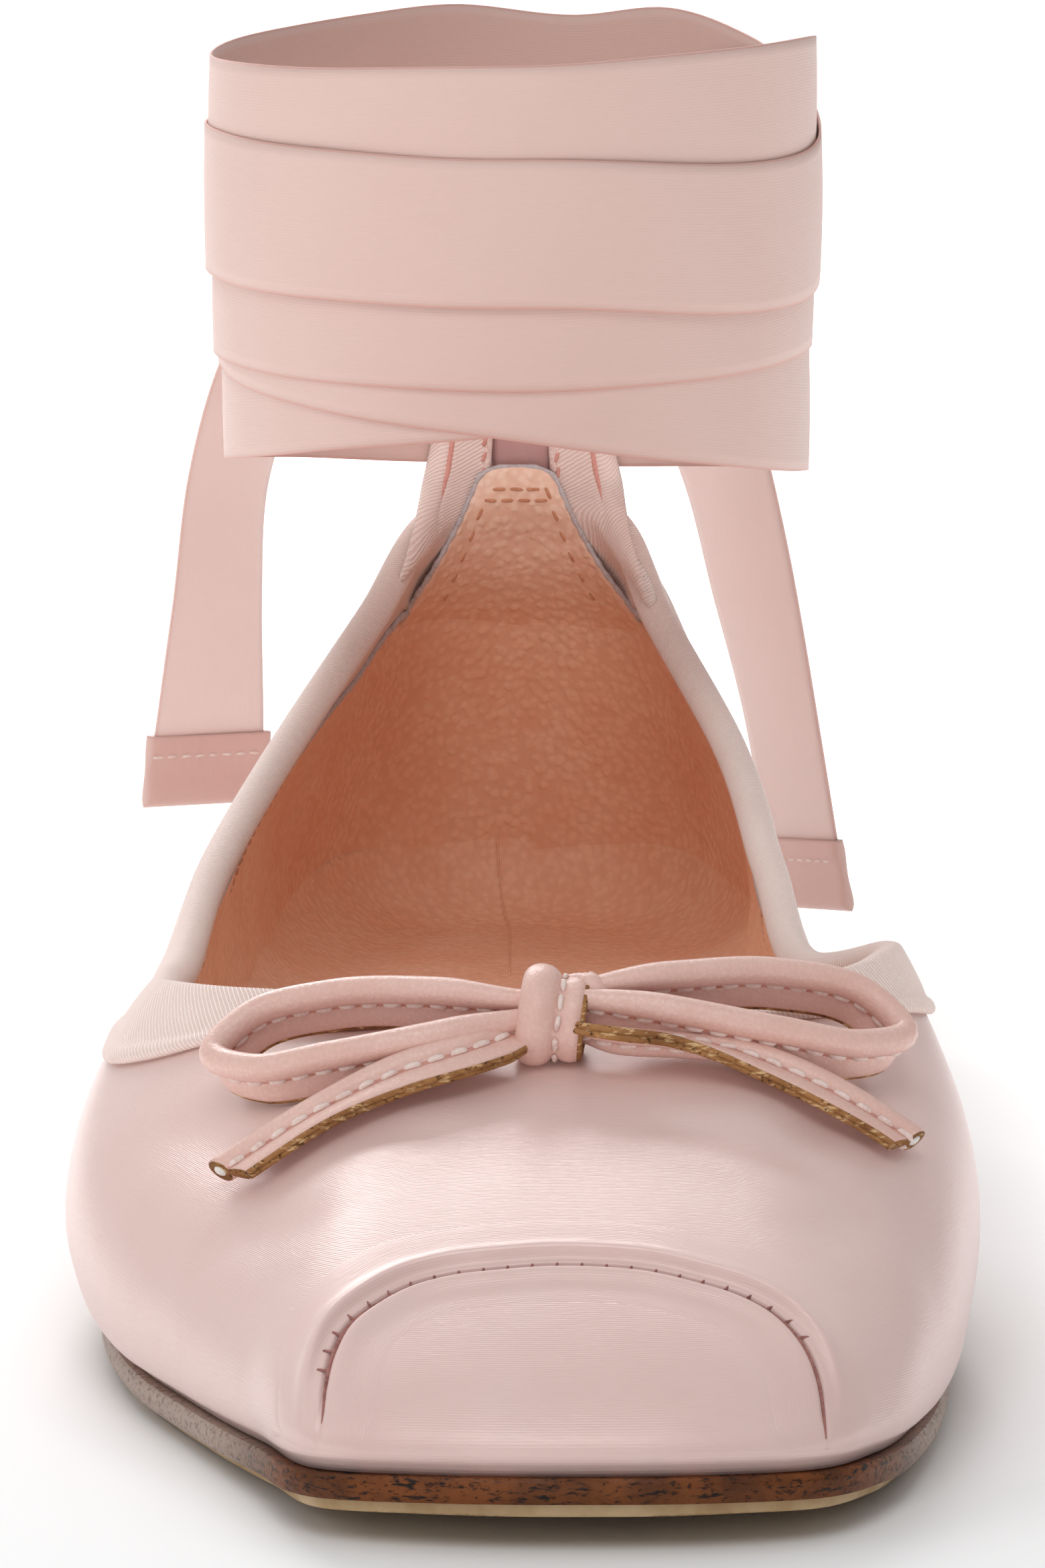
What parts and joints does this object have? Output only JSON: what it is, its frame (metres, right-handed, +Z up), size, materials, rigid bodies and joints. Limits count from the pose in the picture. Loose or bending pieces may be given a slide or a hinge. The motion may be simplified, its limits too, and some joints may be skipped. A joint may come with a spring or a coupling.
{
  "type": "ankle wrap flat",
  "caption": "Square-toed satin ballet flat for a right foot, with bound collar, toe seam, piped leather bow, low heel and a ribbon wound round the ankle.",
  "frame": {"origin": "on the floor, in the middle of the flat spot of the tread under the ball of the foot", "axes": "+Z up, toe towards -Y, heel towards +Y, wearer's inner side towards +X"},
  "size_m": [0.0851, 0.2558, 0.1148],
  "materials": {
    "sole_edge": "waxed leather board edge with dark specks",
    "tread_rubber": "matt pale rubber",
    "lining_leather": "pebbled pigskin",
    "satin": "soft satin sheen",
    "grosgrain": "matt ribbed tape",
    "ribbon": "matt satin ribbon",
    "bow_leather": "smooth nappa leather"
  },
  "bodies": {
    "root": {"outsole": "sole_edge", "tread": "tread_rubber", "heel": "sole_edge", "insole": "lining_leather", "upper": "satin", "collar_binding": "grosgrain", "toe_seam": "satin", "heel_loop": "grosgrain", "ankle_wrap": "ribbon", "ankle_knot": "ribbon", "bow_knot": "bow_leather", "ribbon_tail_outer": "ribbon", "ribbon_tip_outer": "ribbon", "bow_loop_outer": "bow_leather", "bow_tail_outer": "bow_leather", "ribbon_tail_inner": "ribbon", "ribbon_tip_inner": "ribbon", "bow_loop_inner": "bow_leather", "bow_tail_inner": "bow_leather"}
  },
  "joints": []
}
